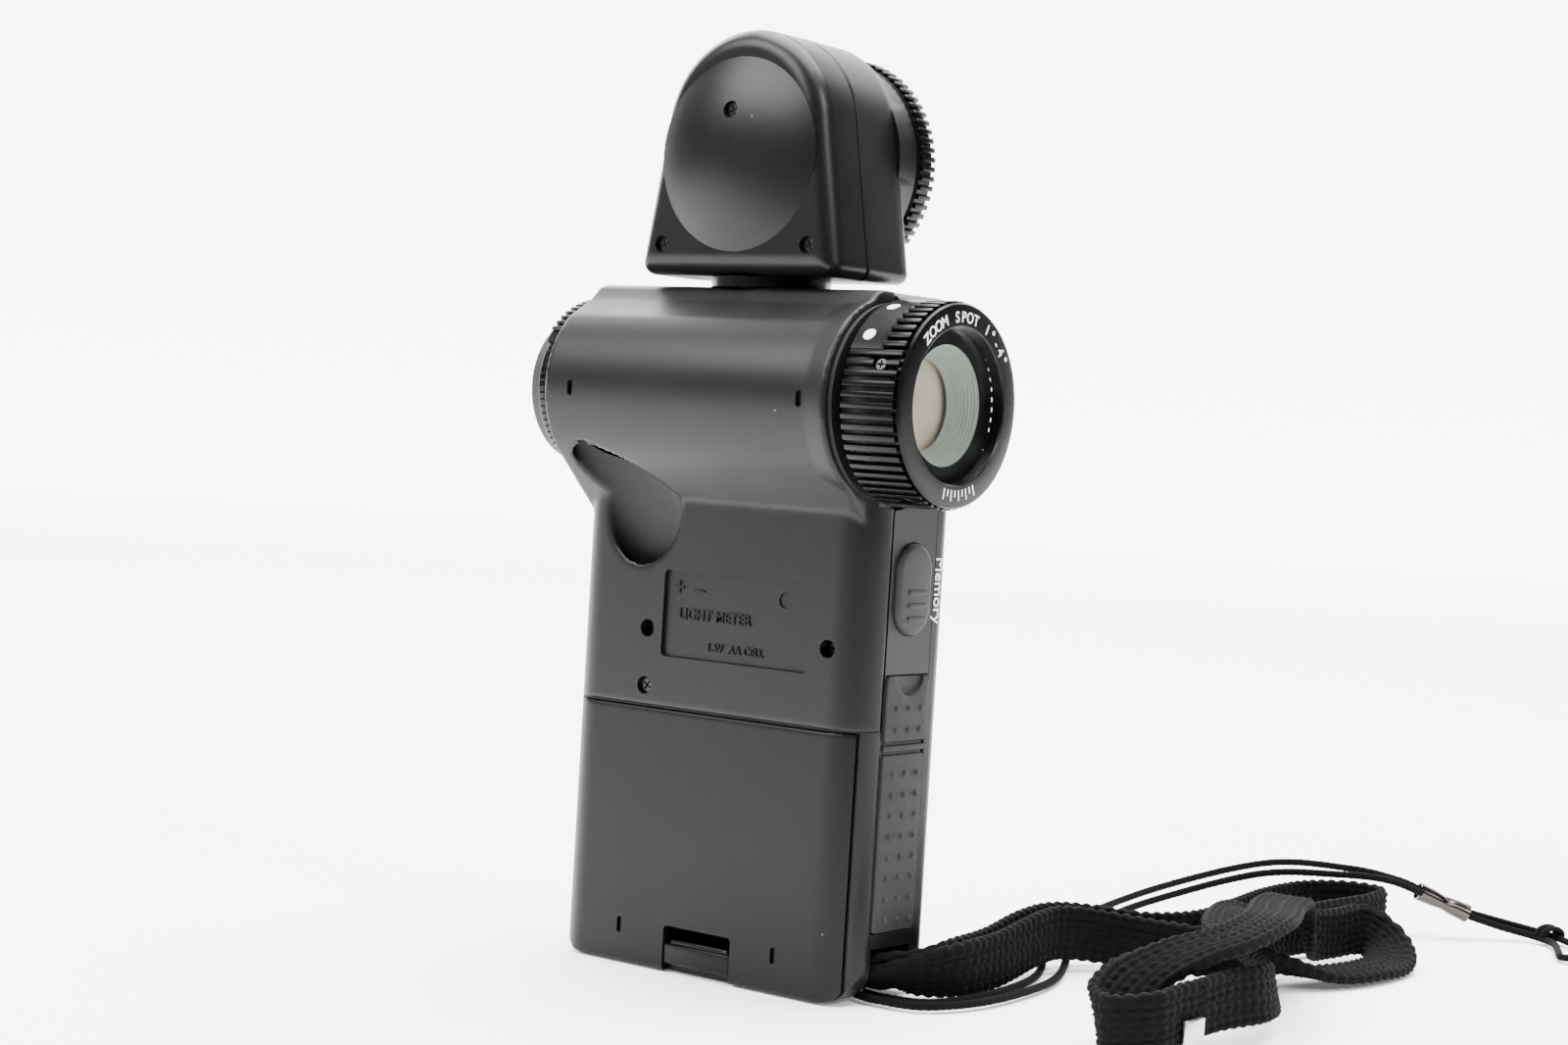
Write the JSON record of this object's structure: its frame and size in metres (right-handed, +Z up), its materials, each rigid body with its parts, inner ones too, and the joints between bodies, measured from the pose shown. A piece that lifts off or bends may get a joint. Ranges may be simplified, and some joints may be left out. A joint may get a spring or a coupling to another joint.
{
  "type": "handheld light meter",
  "caption": "Handheld exposure meter with a zoom spot tube, a swivelling dome head, side buttons, rubber grip, rear battery cover and a braided neck strap.",
  "frame": {"origin": "centre of the base under the axis that the head turns about", "axes": "+Z up along the head's swivel axis, +X out of the spot objective, +Y out of the display face, -Y out of the back"},
  "size_m": [0.1328, 0.187, 0.1608],
  "materials": {
    "moulded_black": "satin",
    "gloss_black": "satin",
    "soft_rubber": "matte",
    "optical_glass": "clear",
    "black_screw": "satin",
    "steel": "satin",
    "cell_jacket": "gloss",
    "opal_plastic": "matte",
    "sensor_black": "matte",
    "display": "satin",
    "circuit_board": "satin",
    "woven_braid": "woven"
  },
  "bodies": {
    "root": {"rear_housing": "moulded_black", "front_housing": "moulded_black", "mid_frame": "moulded_black", "battery_holder": "gloss_black", "battery_cell": "cell_jacket", "battery_spring": "steel", "battery_contact": "steel", "grip_pad": "soft_rubber", "sync_socket": "steel", "lens_mount": "gloss_black", "front_glass": "optical_glass", "lens_baffle": "gloss_black", "objective_lens": "optical_glass", "finder_prism": "optical_glass", "spot_sensor": "sensor_black", "name_ring": "gloss_black", "eyepiece_tube": "gloss_black", "eyepiece_lens": "optical_glass", "lcd_window": "optical_glass", "lcd_module": "display", "main_board": "circuit_board", "key_mat": "soft_rubber", "jog_axle": "steel", "case_screws": "steel", "strap_bar": "steel", "strap_leg_upper": "woven_braid", "strap_leg_lower": "woven_braid", "strap_ferrule": "steel", "loop_cord_front": "woven_braid", "loop_cord_back": "woven_braid", "cord_ferrule": "steel", "loop_cord_tail": "woven_braid"},
    "battery_door": {"battery_cover": "moulded_black"},
    "latch": {"cover_latch": "moulded_black"},
    "flap": {"sync_flap": "soft_rubber"},
    "memory_key": {"memory_button": "soft_rubber"},
    "measure_key": {"measuring_button": "soft_rubber"},
    "zoom": {"zoom_ring": "gloss_black", "ring_screws": "black_screw"},
    "zoom_cell": {"zoom_carrier": "gloss_black", "zoom_lens": "optical_glass"},
    "diopter": {"diopter_ring": "gloss_black", "eyecup": "soft_rubber"},
    "head": {"head_rear_shell": "moulded_black", "head_front_shell": "moulded_black", "head_neck": "gloss_black", "swivel_clip": "steel", "head_screws": "black_screw"},
    "dome_twist": {"dome_ring": "gloss_black"},
    "dome_lift": {"dome": "opal_plastic", "dome_carrier": "gloss_black", "incident_sensor": "sensor_black"},
    "mode": {"mode_key": "soft_rubber"},
    "iso_one": {"iso_one_key": "soft_rubber"},
    "iso_two": {"iso_two_key": "soft_rubber"},
    "clear": {"clear_key": "soft_rubber"},
    "jog": {"jog_wheel": "gloss_black"},
    "power": {"power_switch": "gloss_black"}
  },
  "joints": [
    {"name": "head_swivel", "type": "hinge", "parent": "root", "child": "head", "pos_m": [0, 0, 0.118], "axis": [0, 0, 1], "range_deg": [-90, 180]},
    {"name": "dome_ring_turn", "type": "hinge", "parent": "head", "child": "dome_twist", "pos_m": [0, 0.017, 0.14], "axis": [0, 1, 0], "range_deg": [0, 90]},
    {"name": "dome_raise", "type": "slide", "parent": "head", "child": "dome_lift", "axis": [0, 1, 0], "range_m": [0, 0.0075]},
    {"name": "zoom_turn", "type": "hinge", "parent": "root", "child": "zoom", "pos_m": [0.037, -0.0058, 0.099], "axis": [1, 0, 0], "range_deg": [0, 90]},
    {"name": "zoom_lens_slide", "type": "slide", "parent": "root", "child": "zoom_cell", "axis": [1, 0, 0], "range_m": [0, 0.009]},
    {"name": "diopter_turn", "type": "hinge", "parent": "root", "child": "diopter", "pos_m": [-0.034, -0.0058, 0.099], "axis": [1, 0, 0], "range_deg": [-45, 45]},
    {"name": "battery_door_hinge", "type": "hinge", "parent": "root", "child": "battery_door", "pos_m": [0, -0.0113, 0.0447], "axis": [1, 0, 0], "range_deg": [-100, 0]},
    {"name": "door_latch_slide", "type": "slide", "parent": "battery_door", "child": "latch", "axis": [0, 0, 1], "range_m": [0, 0.002], "stiffness_N_per_m": 150},
    {"name": "sync_flap_hinge", "type": "hinge", "parent": "root", "child": "flap", "pos_m": [0.0324, 0, 0.0432], "axis": [0, 1, 0], "range_deg": [0, 85]},
    {"name": "memory_press", "type": "slide", "parent": "root", "child": "memory_key", "axis": [-1, 0, 0], "range_m": [0, 0.0009], "stiffness_N_per_m": 400},
    {"name": "measure_press", "type": "slide", "parent": "root", "child": "measure_key", "axis": [1, 0, 0], "range_m": [0, 0.0009], "stiffness_N_per_m": 400},
    {"name": "mode_press", "type": "slide", "parent": "root", "child": "mode", "axis": [0, -1, 0], "range_m": [0, 0.0007], "stiffness_N_per_m": 300},
    {"name": "iso_one_press", "type": "slide", "parent": "root", "child": "iso_one", "axis": [0, -1, 0], "range_m": [0, 0.0007], "stiffness_N_per_m": 300},
    {"name": "iso_two_press", "type": "slide", "parent": "root", "child": "iso_two", "axis": [0, -1, 0], "range_m": [0, 0.0007], "stiffness_N_per_m": 300},
    {"name": "clear_press", "type": "slide", "parent": "root", "child": "clear", "axis": [0, -1, 0], "range_m": [0, 0.0007], "stiffness_N_per_m": 300},
    {"name": "jog_turn", "type": "hinge", "parent": "root", "child": "jog", "pos_m": [-0.0256, 0.0066, 0.0528], "axis": [0, 0, 1], "continuous": true},
    {"name": "power_slide", "type": "slide", "parent": "root", "child": "power", "axis": [1, 0, 0], "range_m": [0, 0.004]}
  ],
  "couplings": [
    {"joint": "zoom_lens_slide", "follows": "zoom_turn", "m_per_rad": 0.0057296},
    {"joint": "dome_raise", "follows": "dome_ring_turn", "m_per_rad": 0.0047746}
  ]
}
